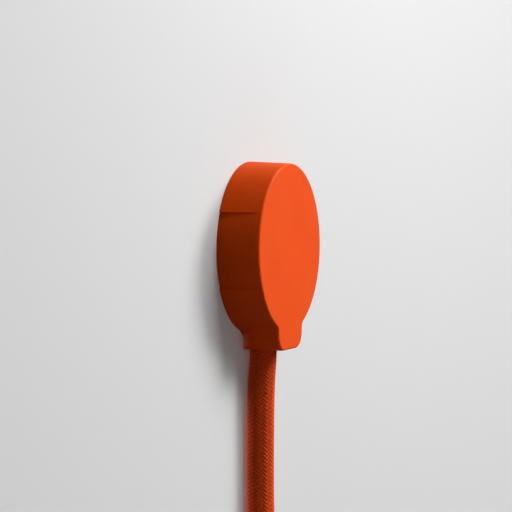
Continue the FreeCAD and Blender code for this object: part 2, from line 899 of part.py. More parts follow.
def earth_terminal():
    """The lug's screw, with the washer that presses the earth core."""
    at = (LUG_ACROSS, LUG_HEIGHT)
    washer_face = f"({STRAP_BACK} - size.core_diameter / 2 - size.ferrule_diameter / 2)"
    washer_back = f"({washer_face} - size.washer_thickness)"
    washer = rod("earth_washer_disc", "size.lug_diameter", washer_back, washer_face, at)
    hole = rod(
        "earth_washer_hole",
        "(size.terminal_screw_diameter + 2 * size.clearance)",
        f"({washer_back} - {SPARE})",
        f"({washer_face} + {SPARE})",
        at,
    )
    keep(cut("earth_washer_finished", washer, [hole]), "earth_clamp_washer")
    screw = slotted_screw(
        "earth_screw",
        "(size.terminal_screw_diameter - size.clearance)",
        f"({STRAP_FRONT} + 2 * size.strap_thickness)",
        washer_back,
        "size.earth_head_diameter",
        "size.terminal_head_height",
        at,
    )
    return keep(screw, "earth_terminal_screw")


def housing_screw():
    """The long screw from the engagement face into the cover's post."""
    tip = f"({FLANGE_SEAT} - size.insert_length + size.screw_sink)"
    screw = slotted_screw(
        "housing_screw_turned",
        "size.screw_diameter",
        tip,
        SCREW_SEAT,
        "size.screw_head_diameter",
        "size.screw_head_height",
        ("0", "0"),
        toward_back=False,
    )
    return keep(screw, "housing_screw")


def threaded_insert():
    """A brass bush with two knurled bands, pressed into the cover's post."""
    low = f"({FLANGE_SEAT} - size.insert_length)"
    high = f"({FLANGE_SEAT} - size.clearance)"
    bush = rod("insert_bush", "(size.insert_diameter - size.clearance / 2)", low, high)
    hole = rod(
        "insert_bore",
        "(size.screw_diameter + size.clearance)",
        f"({low} - {SPARE})",
        f"({high} + {SPARE})",
    )
    middle = f"({FLANGE_SEAT} - size.insert_length / 2)"
    half = "(size.insert_groove_width / 2)"
    ring = rod(
        "insert_groove_outer",
        f"(size.insert_diameter + {SPARE})",
        f"({middle} - {half})",
        f"({middle} + {half})",
    )
    ring_core = rod(
        "insert_groove_core",
        "(size.insert_diameter - 2 * size.insert_groove_depth)",
        f"({middle} - {SPARE})",
        f"({middle} + {SPARE})",
    )
    groove = cut("insert_groove", ring, [ring_core])
    return keep(cut("insert_finished", bush, [hole, groove]), "threaded_insert")


def cord_clamp():
    """A bar with an arch over the cord and a round foot at each screw."""
    body = doc.addObject("PartDesign::Body", "cord_clamp_body")
    plan = sketch_on(body, "clamp_plan", "XZ_Plane", minus(f"({CLAMP_SEAT} + size.clamp_arch_depth)"))
    half = "(size.clamp_width / 2)"
    closed_outline(plan, [
        (minus(CLAMP_X), f"({CLAMP_Z} - {half})"),
        (CLAMP_X, f"({CLAMP_Z} - {half})"),
        (CLAMP_X, f"({CLAMP_Z} + {half})"),
        (minus(CLAMP_X), f"({CLAMP_Z} + {half})"),
    ])
    bar = body.newObject("PartDesign::Pad", "clamp_bar")
    bar.Profile = plan
    bar.setExpression("Length", "size.clamp_arch_depth")
    feet = []
    for side, x in (("left", minus(CLAMP_X)), ("right", CLAMP_X)):
        feet.append(rod(
            f"clamp_foot_{side}",
            "size.clamp_width",
            CLAMP_SEAT,
            f"({CLAMP_SEAT} + size.clamp_thickness)",
            (x, CLAMP_Z),
        ))
    whole = fuse("clamp_whole", [body, *feet])
    arch = rod(
        "clamp_arch",
        "(size.cord_diameter + 2 * size.clamp_thickness)",
        f"({CLAMP_Z} - {half})",
        f"({CLAMP_Z} + {half})",
        ("0", CORD_Y),
        "Z",
    )
    strip = block(
        "clamp_strip",
        (f"({minus(CLAMP_X)} - {half})", f"({CLAMP_X} + {half})"),
        (CLAMP_SEAT, f"({CLAMP_SEAT} + size.clamp_thickness)"),
        (f"({CLAMP_Z} - {half})", f"({CLAMP_Z} + {half})"),
    )
    kept = common("clamp_kept", whole, fuse("clamp_section", [arch, strip]))
    holes = [rod("clamp_cord_way", "size.cord_diameter", f"(2 * {CLAMP_Z})", "0", ("0", CORD_Y), "Z")]
    for side, x in (("left", minus(CLAMP_X)), ("right", CLAMP_X)):
        holes.append(rod(
            f"clamp_hole_{side}",
            "(size.clamp_screw_diameter + 2 * size.clearance)",
            f"({CLAMP_SEAT} - {SPARE})",
            f"({CLAMP_SEAT} + size.clamp_arch_depth)",
            (x, CLAMP_Z),
        ))
    return keep(cut("clamp_finished", kept, holes), "cord_clamp")


def clamp_screws():
    seat = f"({CLAMP_SEAT} + size.clamp_thickness)"
    tip = f"({CLAMP_SEAT} - size.clamp_screw_length + 4 * size.clearance)"
    screws = []
    for side, x in (("left", minus(CLAMP_X)), ("right", CLAMP_X)):
        screws.append(slotted_screw(
            f"clamp_screw_{side}",
            "(size.clamp_screw_diameter - size.clearance)",
            tip,
            seat,
            "size.clamp_head_diameter",
            "size.clamp_head_height",
            (x, CLAMP_Z),
            toward_back=False,
        ))
    return group("clamp_screws", screws)


# Cord, cores and coil

def route_wire(points):
    """Straight runs joined by the largest tangent arcs that the runs allow."""
    edges = []
    radii = []
    start = points[0]
    for i in range(1, len(points) - 1):
        back = points[i - 1] - points[i]
        ahead = points[i + 1] - points[i]
        turn = math.pi - back.getAngle(ahead)
        reach = 0.45 * min(back.Length, ahead.Length)
        radii.append(reach / math.tan(turn / 2))
        into = points[i] + back.normalize() * reach
        out = points[i] + ahead.normalize() * reach
        toward_middle = (back + ahead).normalize()
        middle_way = reach / math.cos((math.pi - turn) / 2)
        sagitta = middle_way - radii[-1]
        edges.append(Part.LineSegment(start, into).toShape())
        edges.append(Part.Arc(into, points[i] + toward_middle * sagitta, out).toShape())
        start = out
    edges.append(Part.LineSegment(start, points[-1]).toShape())
    return Part.Wire(edges), radii


def tube_along(label, points, diameter):
    """A round tube along a route, checked by its section times its length."""
    wire, radii = route_wire(points)
    direction = points[1] - points[0]
    section = Part.Wire(Part.Circle(points[0], direction, diameter / 2).toShape())
    solid = wire.makePipeShell([section], True, False)
    exact = math.pi * diameter ** 2 / 4 * wire.Length
    print(f"{label}: length {wire.Length:.2f}, volume ratio {solid.Volume / exact:.5f}, "
          f"bends in diameters {[round(r / diameter, 1) for r in radii]}")
    obj = doc.addObject("Part::Feature", f"{label}_tube")
    obj.Shape = solid
    obj.Placement = FreeCAD.Placement()
    return keep(obj, label)


def inner_cores():
    """The three insulated cores from the sheath's end to their terminals."""
    diameter = num("size.core_diameter")
    pitch = num("size.core_pitch")
    start_y = num(CORD_Y) + 0.55 * pitch
    earth_y = start_y - 1.8 * pitch
    step = num("size.pole_core_step")
    start_z = num(SHEATH_END)
    pin_x = num(PIN_X)
    wire_y = num(WIRE_Y)
    end_z = -num("size.pin_head_diameter") / 2 - 4 * num("size.clearance")
    for label, side in (("line_core", -1), ("neutral_core", 1)):
        tube_along(label, [
            V(side * pitch, start_y, start_z),
            V(side * pitch, start_y, start_z + num("size.pole_core_rise")),
            V(side * pin_x, start_y + step, start_z + num("size.pole_core_turn")),
            V(side * pin_x, wire_y, start_z + num("size.pole_core_lead")),
            V(side * pin_x, wire_y, end_z),
        ], diameter)
    lug_x = num(LUG_WIRE_X)
    lug_y = num(LUG_WIRE_Y)
    lug_end = num(LUG_WIRE_END)
    aside_y = earth_y - 0.3 * pitch
    tube_along("earth_core", [
        V(0, earth_y, start_z),
        V(0, earth_y, start_z + num("size.earth_core_rise")),
        V(lug_x + num("size.earth_core_swing"), aside_y, start_z + num("size.earth_core_turn")),
        V(lug_x, lug_y, lug_end - num("size.earth_core_lead")),
        V(lug_x, lug_y, lug_end),
    ], diameter)


def inner_ferrules():
    """Crimped wire ends of the two pole cores and of the earth core."""
    low = "(-size.pin_head_diameter / 2 - 4 * size.clearance)"
    high = "(size.pin_head_diameter / 2 - size.ferrule_stop)"
    pieces = []
    for side, x in (("left", minus(PIN_X)), ("right", PIN_X)):
        pieces.append(rod(f"ferrule_{side}", "size.ferrule_diameter", low, high, (x, WIRE_Y), "Z"))
    pieces.append(rod(
        "ferrule_earth",
        "size.ferrule_diameter",
        LUG_WIRE_END,
        f"({LUG_HEIGHT} + size.lug_diameter / 2 - 4 * size.clearance)",
        (LUG_WIRE_X, LUG_WIRE_Y),
        "Z",
    ))
    return group("inner_ferrules", pieces)


def coil_section_radius():
    """How far the middles of the turns lie from the middle of the bundle."""
    turns = math.ceil(num("size.coil_turns"))
    return num("size.coil_slack * size.cord_diameter") / (2 * math.sin(math.pi / turns))


def coil_middle():
    """The coil hangs upright in front of the wall, its middle under the plug."""
    return V(0, -num("size.coil_setback"), -num("size.coil_drop"))


def coil_way_in():
    """Where the tube meets the coil's form, and the direction in which it goes on."""
    turn = math.radians(num("size.coil_entry_angle"))
    reach = num("size.coil_diameter") / 2 + coil_section_radius()
    way = V(-math.sin(turn), 0, math.cos(turn))
    touch = coil_middle() + V(math.cos(turn), 0, math.sin(turn)) * reach
    return touch - way * num("size.coil_entry"), way


def coil_tail():
    """Where the cord leaves the coil, straight down at its left side."""
    ring = num("size.coil_diameter") / 2
    around = coil_section_radius()
    turned = 2 * math.pi * num("size.coil_turns") / math.ceil(num("size.coil_turns"))
    start = coil_middle() + V(-ring - around * math.cos(turned), around * math.sin(turned), 0)
    return start, start - V(0, 0, num("size.coil_tail"))


def cord_run():
    """The open stretch: straight through the clamp and out of the boss, then a slow
    bend towards the coil's top left."""
    middle = num(CORD_Y)
    leaning = middle + num("size.cord_lean")
    foot = num(BOSS_FOOT)
    meet, way = coil_way_in()
    route = [
        V(0, middle, num(SHEATH_END)),
        V(0, middle, foot - num("size.cord_straight")),
        V(0, leaning, foot - num("size.cord_lean_end")),
        V(0, leaning, foot - num("size.cord_hang")),
        meet - way * num("size.coil_lead"),
        meet,
    ]
    tube_along("cord_run", route, num("size.cord_diameter"))


def cord_coil():
    """The outer form of the wound coil, with the cord's way in and its straight tail."""
    cord = num("size.cord_diameter") / 2
    bundle = coil_section_radius() + cord
    ring = Part.makeTorus(num("size.coil_diameter") / 2, bundle, coil_middle(), V(0, 1, 0))
    meet, way = coil_way_in()
    entry = Part.makeCylinder(cord, num("size.coil_entry"), meet, way)
    start, end = coil_tail()
    tail = Part.makeCylinder(cord, num("size.coil_tail"), start, end - start)
    obj = doc.addObject("Part::Feature", "cord_coil_form")
    obj.Shape = ring.fuse([entry, tail]).removeSplitter()
    obj.Placement = FreeCAD.Placement()
    return keep(obj, "cord_coil")


def coil_tie():
    """A flat strap around the bundle, on the side away from the cord's two ends."""
    ring = num("size.coil_diameter") / 2
    bundle = coil_section_radius() + num("size.cord_diameter") / 2
    inner = bundle + num("size.clearance")
    outer = inner + num("size.tie_thickness")
    width = num("size.tie_width")
    place_on_ring = V(ring, 0, 0) + coil_middle() - V(0, 0, width / 2)
    band = Part.makeCylinder(outer, width, place_on_ring, V(0, 0, 1))
    inside = Part.makeTorus(ring, inner, coil_middle(), V(0, 1, 0))
    obj = doc.addObject("Part::Feature", "coil_tie_form")
    obj.Shape = band.cut(inside)
    obj.Placement = FreeCAD.Placement()
    return keep(obj, "coil_tie")


def far_end():
    """The stripped end of the supply cord: a shrunk sleeve, three cores and their ferrules."""
    start, end = coil_tail()
    cord = num("size.cord_diameter") / 2
    gap = num("size.clearance")
    down = V(0, 0, -1)
    length = num("size.end_sleeve_length")
    sleeve_top = end - down * length
    sleeve = Part.makeCylinder(cord + gap + num("size.end_sleeve_wall"), length, sleeve_top, down)
    bore = Part.makeCylinder(cord + gap, length, sleeve_top, down)
    obj = doc.addObject("Part::Feature", "sheath_end_sleeve_form")
    obj.Shape = sleeve.cut(bore)
    obj.Placement = FreeCAD.Placement()
    keep(obj, "sheath_end_sleeve")
    ferrules = []
    for i, name in enumerate(("line", "neutral", "earth")):
        turn = 2 * math.pi * i / 3
        around = V(math.cos(turn), math.sin(turn), 0) * num("size.core_pitch")
        core = doc.addObject("Part::Cylinder", f"far_{name}_core_form")
        core.setExpression("Radius", "size.core_diameter / 2")
        core.setExpression("Height", "size.far_core_length")
        core.Placement = FreeCAD.Placement(end + around, FreeCAD.Rotation(V(1, 0, 0), 180))
        keep(core, f"far_{name}_core")
        ferrule = doc.addObject("Part::Cylinder", f"far_{name}_ferrule")
        ferrule.setExpression("Radius", "size.ferrule_diameter / 2")
        ferrule.setExpression("Height", "size.far_ferrule_length")
        tip = end + around + down * num("size.far_core_length")
        ferrule.Placement = FreeCAD.Placement(tip, FreeCAD.Rotation(V(1, 0, 0), 180))
        ferrules.append(ferrule)
    return group("far_ferrules", ferrules)


def write_parts():
    """Check every object, then write each sub-part to its own file."""
    doc.recompute()
    for obj in doc.Objects:
        bad = [state for state in obj.State if state in ("Invalid", "Error")]
        if bad:
            raise RuntimeError(f"{obj.Name} is {bad}")
    os.makedirs("parts", exist_ok=True)
    for obj in subparts:
        shape = obj.Shape
        if shape.isNull() or not shape.isValid() or not shape.Solids:
            raise RuntimeError(f"{obj.Label} has no valid solid")
        shape.exportStep(f"parts/{obj.Label}.step")
        print(f"{obj.Label}: {len(shape.Solids)} solid(s), {shape.Volume:.1f} cubic mm")


front_cover()
contact_carrier()
contact_pin("line_pin", -1)
contact_pin("neutral_pin", 1)
earth_strap()
earth_receptacle()
pin_terminal_screws()
earth_terminal()
housing_screw()
threaded_insert()
cord_clamp()
clamp_screws()
inner_cores()
inner_ferrules()
cord_run()
cord_coil()
coil_tie()
far_end()
write_parts()
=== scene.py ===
# %% [markdown]
# # A flat low profile plug with a braided cord
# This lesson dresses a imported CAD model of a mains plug. The solids already have
# the right shapes, so most of the work is the finish: moulded plastic, plated
# brass, turned steel and a textile braid. Everything is in metres. The origin is
# the centre of the engagement face between the pins, +Y points into the socket
# and +Z is up, away from the cord.

# %% Load the model
import math

import bmesh
import bpy
from mathutils import Matrix, Vector


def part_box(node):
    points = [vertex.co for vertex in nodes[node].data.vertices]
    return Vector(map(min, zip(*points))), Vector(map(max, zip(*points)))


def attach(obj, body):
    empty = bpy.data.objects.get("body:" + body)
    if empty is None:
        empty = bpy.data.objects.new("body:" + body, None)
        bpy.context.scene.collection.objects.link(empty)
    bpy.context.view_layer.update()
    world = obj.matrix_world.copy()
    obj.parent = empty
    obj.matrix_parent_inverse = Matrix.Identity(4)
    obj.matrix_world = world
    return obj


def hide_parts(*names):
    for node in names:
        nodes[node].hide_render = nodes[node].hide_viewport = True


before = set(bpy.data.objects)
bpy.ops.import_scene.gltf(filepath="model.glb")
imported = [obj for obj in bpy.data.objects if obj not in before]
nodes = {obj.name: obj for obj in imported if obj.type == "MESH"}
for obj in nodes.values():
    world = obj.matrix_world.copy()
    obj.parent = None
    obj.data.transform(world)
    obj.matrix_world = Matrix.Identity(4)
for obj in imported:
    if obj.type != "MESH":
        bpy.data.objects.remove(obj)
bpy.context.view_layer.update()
MM = 0.001
print("nodes:", len(nodes))

# %% [markdown]
# ## The camera
# The plug is seen from its left, from a little above its middle and about 0.6 m
# away, through a long lens. A long lens keeps the round cover from swelling
# towards the viewer, so a short one nearby would not give its outline.

# %% Camera
CAMERA_PLACE = Vector((-0.56619, -0.24841, 0.02879))
CAMERA_HEADING = math.radians(22.046)
CAMERA_PITCH = math.radians(2.923)
LENS_MM = 156.6


def add_camera():
    """A camera at its place, looking along its heading and slightly down."""
    data = bpy.data.cameras.new("camera")
    data.lens = LENS_MM
    camera = bpy.data.objects.new("camera", data)
    level = math.cos(CAMERA_PITCH)
    looking = Vector((
        level * math.cos(CAMERA_HEADING),
        level * math.sin(CAMERA_HEADING),
        -math.sin(CAMERA_PITCH),
    ))
    camera.location = CAMERA_PLACE
    camera.rotation_euler = looking.to_track_quat("-Z", "Y").to_euler()
    bpy.context.scene.collection.objects.link(camera)
    bpy.context.scene.camera = camera


add_camera()
print("camera distance to the plug:", round(CAMERA_PLACE.length, 3), "m")

# %% [markdown]
# ## The wall and the floor
# A plug is seen against the wall that it is pushed into. The wall is a plain pale
# sheet a hair behind the cover's seat, with a round way through for the collar. A
# ring of edges is extruded once and scaled up, which leaves the hole open. Neither
# the wall nor the floor belongs to the object.

# %% Stage meshes
WALL_Y = -16.95 * MM
WALL_HOLE_RADIUS = 22.4 * MM
WALL_SIDES = 64
WALL_HALF = 1.6
FLOOR_DROP = 0.36


def link_mesh(name, bm):
    """Turn a bmesh into an object at the origin."""
    mesh = bpy.data.meshes.new(name)
    bm.to_mesh(mesh)
    bm.free()
    obj = bpy.data.objects.new(name, mesh)
    bpy.context.scene.collection.objects.link(obj)
    return obj


def add_wall():
    """A round sheet behind the seat with a round hole, facing the room."""
    bm = bmesh.new()
    ring = bmesh.ops.create_circle(bm, segments=WALL_SIDES, radius=WALL_HOLE_RADIUS)["verts"]
    edges = list({edge for vert in ring for edge in vert.link_edges})
    grown = bmesh.ops.extrude_edge_only(bm, edges=edges)["geom"]
    outer = [item for item in grown if isinstance(item, bmesh.types.BMVert)]
    bmesh.ops.scale(bm, vec=Vector((1, 1, 1)) * (WALL_HALF / WALL_HOLE_RADIUS), verts=outer)
    turn = Matrix.Translation((0, WALL_Y, 0)) @ Matrix.Rotation(math.radians(90), 4, "X")
    bmesh.ops.transform(bm, matrix=turn, verts=bm.verts)
    bmesh.ops.recalc_face_normals(bm, faces=bm.faces)
    bm.faces.ensure_lookup_table()
    bm.normal_update()
    if bm.faces[0].normal.y > 0:
        bmesh.ops.reverse_faces(bm, faces=bm.faces)
    return link_mesh("stage_wall", bm)


def add_floor():
    """A wide level sheet below the coil."""
    bm = bmesh.new()
    bmesh.ops.create_grid(bm, x_segments=1, y_segments=1, size=2 * WALL_HALF)
    bmesh.ops.translate(bm, vec=(0, 0, -FLOOR_DROP), verts=bm.verts)
    return link_mesh("stage_floor", bm)


wall = add_wall()
floor = add_floor()
print("wall at y =", WALL_Y, "floor at z =", -FLOOR_DROP)

# %% [markdown]
# ## The cord's route
# The real cord is 1.8 m long. It leaves the boss straight down, hangs with a slow
# bend, and the rest of it is wound into a tied coil below the picture. The points
# of the open stretch are few, so that it bends like cord and not like wire. The
# coil's section is a ring of seven places, and each turn ends one place further
# on, so the turns lie beside each other. A loop works out their points.

# %% Cord route
CORD_DIAMETER = 7.5 * MM
OPEN_ROUTE = [
    (0, -21.5, -12.5),
    (0, -21.5, -28),
    (0, -20.45, -40),
    (0, -20.45, -84),
    (-14.3, -30.1, -114.2),
    (-29.8, -30.1, -141.1),
]
COIL_MIDDLE = Vector((0, -30.1, -191.9)) * MM
RING_RADIUS = 42.5 * MM
TURNS = 6.083
PLACES = 7
TURN_ROOM = 1.03
ENTRY_ANGLE = math.radians(150)
POINTS_PER_TURN = 16
TAIL_LENGTH = 50 * MM


def coil_point(turned, spread=1.0):
    """A point of the coil after so many turns; spread makes up for what the spline cuts."""
    section = TURN_ROOM * CORD_DIAMETER / (2 * math.sin(math.pi / PLACES))
    around = 2 * math.pi * turned / PLACES
    ring = ENTRY_ANGLE + 2 * math.pi * turned
    reach = (RING_RADIUS + section * math.cos(around)) * spread
    return COIL_MIDDLE + Vector((
        reach * math.cos(ring),
        section * math.sin(around),
        reach * math.sin(ring),
    ))


def cord_points():
    """Control points: the open stretch, the turns, then the straight tail."""
    points = [Vector(point) * MM for point in OPEN_ROUTE]
    spread = 1 / (0.75 + 0.25 * math.cos(2 * math.pi / POINTS_PER_TURN))
    steps = int(TURNS * POINTS_PER_TURN)
    points += [coil_point((i + 0.5) / POINTS_PER_TURN, spread) for i in range(steps)]
    tail_start = coil_point(TURNS)
    for share in (0.0, 0.5, 1.0):
        points.append(tail_start - Vector((0, 0, share * TAIL_LENGTH)))
    return points


route = cord_points()
print("cord route:", len(route), "control points")

# %% [markdown]
# ## The cord's line
# One NURBS spline carries the open stretch, the coil and the tail, because a cord
# is one length of one thing. With an order of 3 it rounds every corner by itself.
# Its order is set after its points, or it would stay a chain of straight runs.

# %% Cord line
LINE_STEPS = 20


def add_cord_line(points):
    """A curve object of one open, smooth spline through the control points."""
    curve = bpy.data.curves.new("cord_line", "CURVE")
    curve.dimensions = "3D"
    curve.resolution_u = LINE_STEPS
    spline = curve.splines.new("NURBS")
    spline.points.add(len(points) - 1)
    for item, point in zip(spline.points, points):
        item.co = (*point, 1)
    spline.order_u = 3
    spline.use_endpoint_u = True
    line = bpy.data.objects.new("cord_line", curve)
    bpy.context.scene.collection.objects.link(line)
    return line


def follow(line):
    """The points that a curve passes through, read from its own spline."""
    mesh = bpy.data.meshes.new_from_object(line)
    points = [vert.co.copy() for vert in mesh.vertices]
    bpy.data.meshes.remove(mesh)
    return points


def lengths_along(points):
    """How far along a path each of its points lies."""
    gone = [0.0]
    for a, b in zip(points, points[1:]):
        gone.append(gone[-1] + (b - a).length)
    return gone


cord_line = add_cord_line(route)
cord_path = follow(cord_line)

# %% [markdown]
# ## The cord's skin
# A braid is woven round the cord, so its pattern has to follow the cord and not
# the room. A bevelled curve makes the round skin without twist. Its own UV map
# counts rings, which lie closer together in some places, so the mesh gets a new
# one: the share of the way round, and the real length gone in units of the girth.
# With that the weave never stretches.

# %% Cord skin
CORD_SIDES = 24


def tube_from_line(name, line, diameter, sides):
    """A closed round tube along a curve, with a UV map that follows its length."""
    gone = lengths_along(follow(line))
    line.data.bevel_depth = diameter / 2
    line.data.bevel_resolution = sides // 2 - 2
    mesh = bpy.data.meshes.new_from_object(line)
    bpy.data.objects.remove(line)
    bm = bmesh.new()
    bm.from_mesh(mesh)
    bpy.data.meshes.remove(mesh)
    for layer in list(bm.loops.layers.uv.values()):
        bm.loops.layers.uv.remove(layer)
    layer = bm.loops.layers.uv.new("along")
    for face in bm.faces:
        numbers = [vert.index % sides for vert in face.verts]
        wraps = max(numbers) - min(numbers) > sides / 2
        for loop in face.loops:
            ring, number = divmod(loop.vert.index, sides)
            if wraps and number == 0:
                number = sides
            loop[layer].uv = (number / sides, gone[ring] / (math.pi * diameter))
        face.smooth = True
    bmesh.ops.holes_fill(bm, edges=bm.edges, sides=0)
    bmesh.ops.recalc_face_normals(bm, faces=bm.faces)
    return link_mesh(name, bm)


cord = tube_from_line("cord_skin", cord_line, CORD_DIAMETER, CORD_SIDES)
print("cord skin:", len(cord.data.polygons), "faces")

# %% [markdown]
# ## The strap's shape
# A hook and loop strap holds the coil. It goes once round the bundle and then laps
# over its own beginning, on the side that faces the room. Its length runs round
# the bundle's section, its width bends with the coil, its ends are rounded, and
# where it laps it climbs by its own thickness. Small functions say this: one
# places a point, and one gives the width near an end.

# %% Strap shape
STRAP_WIDTH = 12 * MM
STRAP_THICKNESS = 0.8 * MM
STRAP_RADIUS = 12.75 * MM
STRAP_LAP = math.radians(75)
STRAP_TURN = 2 * math.pi + STRAP_LAP
STRAP_CLIMB = math.radians(28)
STRAP_LIFT = 1.05 * STRAP_THICKNESS
STRAP_END_ANGLE = math.radians(-70)
STRAP_CORNER = 3.2 * MM


def smooth_step(share):
    """A share that starts and ends its way from 0 to 1 softly."""
    share = min(max(share, 0.0), 1.0)
    return share * share * (3 - 2 * share)


def strap_point(turned, across):
    """A point of the strap's inner face, by its angle from the start and its place across."""
    climbed = (turned - 2 * math.pi + STRAP_CLIMB) / STRAP_CLIMB
    radius = STRAP_RADIUS + STRAP_LIFT * smooth_step(climbed)
    angle = STRAP_END_ANGLE - STRAP_TURN + turned
    reach = RING_RADIUS + radius * math.cos(angle)
    bend = math.asin(across / reach)
    return COIL_MIDDLE + Vector((
        reach * math.cos(bend),
        radius * math.sin(angle),
        reach * math.sin(bend),
    ))


def half_width(from_end):
    """Half the strap's width at a distance from its end, less where the corners are round."""
    missing = max(STRAP_CORNER - from_end, 0.0)
    inset = STRAP_CORNER - math.sqrt(STRAP_CORNER ** 2 - missing ** 2)
    return STRAP_WIDTH / 2 - inset


strap_length = STRAP_TURN * STRAP_RADIUS
print("strap length:", round(strap_length / MM), "mm")

# %% [markdown]
# ## The strap's mesh
# A flat grid becomes the strap when each of its points is moved to its place. Its
# UV map keeps the flat strap's own millimetres, for the weave. Solidify gives the
# cloth its thickness, and a small bevel softens its cut edges.

# %% Strap mesh
STRAP_STEPS = (160, 10)
STRAP_EDGE = 0.18 * MM
SHARP_ANGLE = math.radians(60)


def thicken(piece):
    """Give a sheet of cloth its thickness and soft edges."""
    thick = piece.modifiers.new("thickness", "SOLIDIFY")
    thick.thickness = STRAP_THICKNESS
    thick.offset = -1
    edge = piece.modifiers.new("edge", "BEVEL")
    edge.width = STRAP_EDGE
    edge.segments = 2
    edge.limit_method = "ANGLE"
    edge.angle_limit = SHARP_ANGLE


def add_strap():
    """A grid bent round the bundle, with its flat lengths kept as a UV map."""
    bm = bmesh.new()
    along, over = STRAP_STEPS
    bmesh.ops.create_grid(bm, x_segments=along, y_segments=over, size=0.5)
    layer = bm.loops.layers.uv.new("along")
    flat = {}
    for vert in bm.verts:
        turned = (vert.co.x + 0.5) * STRAP_TURN
        gone = turned * STRAP_RADIUS
        across = 2 * vert.co.y * half_width(min(gone, strap_length - gone))
        flat[vert] = (gone, across)
        vert.co = strap_point(turned, across)
    for face in bm.faces:
        face.smooth = True
        for loop in face.loops:
            loop[layer].uv = flat[loop.vert]
    return link_mesh("coil_strap", bm)


strap = add_strap()
thicken(strap)
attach(strap, "root")
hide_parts("coil_tie")
print("strap:", len(strap.data.polygons), "faces before it is thickened")

# %% [markdown]
# The frame is told what the cord is, so that its length and bends can be measured,
# and which pieces hang on it. The cord leaves the boss through its foot.

# %% Cord facts
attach(cord, "root")
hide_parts("cord_run", "cord_coil")

# %% [markdown]
# ## Shader maths as expressions
# Patterns are sums, waves and thresholds. Written as one Math node after another
# they are hard to read, so a small class wraps a socket: adding or multiplying
# two wrapped sockets adds the Math node that does it.

# %% Sockets as numbers
class Value:
    """A socket that can be used in Python arithmetic."""

    def __init__(self, graph, socket):
        self.graph = graph
        self.socket = socket

    def math(self, operation, *others):
        """The Math node of an operation on this value and the others."""
        return self.graph.node(
            "ShaderNodeMath", {"operation": operation}, dict(enumerate((self, *others)))
        )

    def __add__(self, other):
        return self.math("ADD", other)

    __radd__ = __add__

    def __mul__(self, other):
        return self.math("MULTIPLY", other)

    __rmul__ = __mul__

    def __sub__(self, other):
        return self.math("SUBTRACT", other)

    def __rsub__(self, other):
        return self.graph.node(
            "ShaderNodeMath", {"operation": "SUBTRACT"}, {0: other, 1: self}
        )

    def __mod__(self, other):
        return self.math("FLOORED_MODULO", other)

    def floor(self):
        return self.math("FLOOR")

    def sine(self):
        return self.math("SINE")

    def less(self, other):
        """1 where this value is less than the other, and 0 elsewhere."""
        return self.math("LESS_THAN", other)

    def either(self, other):
        """The larger of two shares."""
        return self.math("MAXIMUM", other)

    def clip(self, low, high):
        """This value as a share from low to high, held between 0 and 1."""
        return self.graph.node(
            "ShaderNodeMapRange",
            {"clamp": True},
            {"Value": self, "From Min": low, "From Max": high},
        )


print("a socket can be added, multiplied and compared")

# %% [markdown]
# ## Node graphs
# All other nodes come from one method, `node`, which sets a node up and links it in
# one line. `Graph` works on any node tree, so that materials and the world are
# written in the same way.

# %% Node graphs
class Graph:
    """A node tree under construction, with one method that makes any node."""

    def __init__(self, tree):
        self.tree = tree

    def node(self, kind, settings=None, sockets=None, output=0):
        """A node of a kind: settings first, then the values or links of its sockets."""
        made = self.tree.nodes.new(kind)
        for name, setting in (settings or {}).items():
            setattr(made, name, setting)
        for key, content in (sockets or {}).items():
            self.feed(made.inputs[key], content)
        return Value(self, made.outputs[output])

    def feed(self, socket, content):
        """Link a value to a socket, or write a plain number or colour into it."""
        if isinstance(content, Value):
            self.tree.links.new(content.socket, socket)
        else:
            socket.default_value = content

    def ray(self, kind):
        """1 for light paths of a kind, such as Camera or Glossy, and 0 for others."""
        return self.node("ShaderNodeLightPath", output=f"Is {kind} Ray")

    def choose(self, share, first, second):
        """A number that goes from the first to the second."""
        return self.node(
            "ShaderNodeMix",
            {"data_type": "FLOAT"},
            {"Factor": share, "A": first, "B": second},
            output="Result",
        )

    def split(self, vector):
        """The three numbers of a vector."""
        first = self.node("ShaderNodeSeparateXYZ", {}, {0: vector})
        return [Value(self, socket) for socket in first.socket.node.outputs]


print("node graphs ready")

# %% [markdown]
# ## A material under construction
# `Paint` is the graph of a new material. It has the few steps that every finish
# here needs: where a point is, cloudy noise, a mix of two colours and a bump. They
# read the object's own coordinates, so a pattern stays where it is on the piece.

# %% Materials
# The Mix node has sockets for every kind of data, and these are its colour ones
COLOUR_INPUTS = (6, 7)
COLOUR_OUTPUT = 2


class Paint(Graph):
    """The graph of a new material."""

    def __init__(self, name):
        self.material = bpy.data.materials.new(name)
        self.material.use_nodes = True
        super().__init__(self.material.node_tree)
        self.shader = self.tree.nodes["Principled BSDF"]

    def place(self):
        """Where on the object a point is, in metres."""
        return self.node("ShaderNodeTexCoord", output="Object")

    def noise(self, scale, detail, vector=None):
        """Cloudy noise; scale counts its lumps in a metre."""
        return self.node(
            "ShaderNodeTexNoise",
            {"normalize": True},
            {"Vector": vector or self.place(), "Scale": scale, "Detail": detail},
        )

    def mix(self, share, first, second):
        """A colour that goes from the first to the second."""
        return self.node(
            "ShaderNodeMix",
            {"data_type": "RGBA"},
            {"Factor": share, COLOUR_INPUTS[0]: first, COLOUR_INPUTS[1]: second},
            output=COLOUR_OUTPUT,
        )

    def bump(self, height, distance):
        """A normal from a height between 0 and 1, raised by a distance in metres."""
        return self.node("ShaderNodeBump", {}, {"Height": height, "Distance": distance})

    def finish(self, **inputs):
        """Set the shader's sockets by name and give back the material."""
        for name, content in inputs.items():
            self.feed(self.shader.inputs[name.replace("_", " ")], content)
        return self.material


print("materials can be made")
